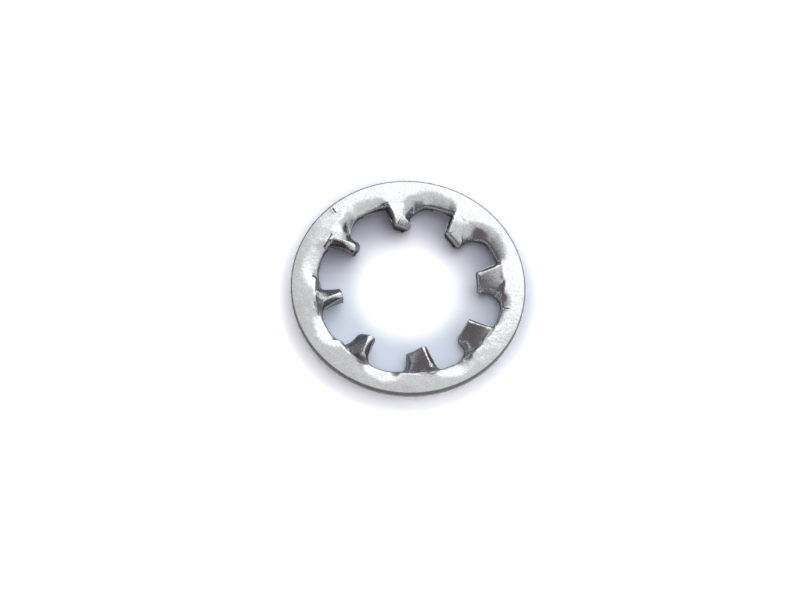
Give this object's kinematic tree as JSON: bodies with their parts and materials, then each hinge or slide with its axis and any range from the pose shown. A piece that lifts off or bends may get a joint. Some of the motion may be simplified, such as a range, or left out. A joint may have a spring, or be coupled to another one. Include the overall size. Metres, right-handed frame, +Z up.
{
  "type": "internal toothed lock washer",
  "caption": "Flat round lock washer stamped from spring steel, with short twisted teeth that point inward around its screw hole.",
  "frame": {"origin": "on the axis of the screw hole, in the plane of the lowest tooth corners, on which the washer stands", "axes": "+Z up along the axis of the screw hole, square to the ring; +X and +Y lie in the plane of the ring, and a tooth stands 12.2 degrees counter-clockwise of +X"},
  "size_m": [0.011, 0.011, 0.0012],
  "materials": {
    "spring_steel": "satin, fine grained"
  },
  "bodies": {
    "root": {"lock_washer": "spring_steel"}
  },
  "joints": []
}
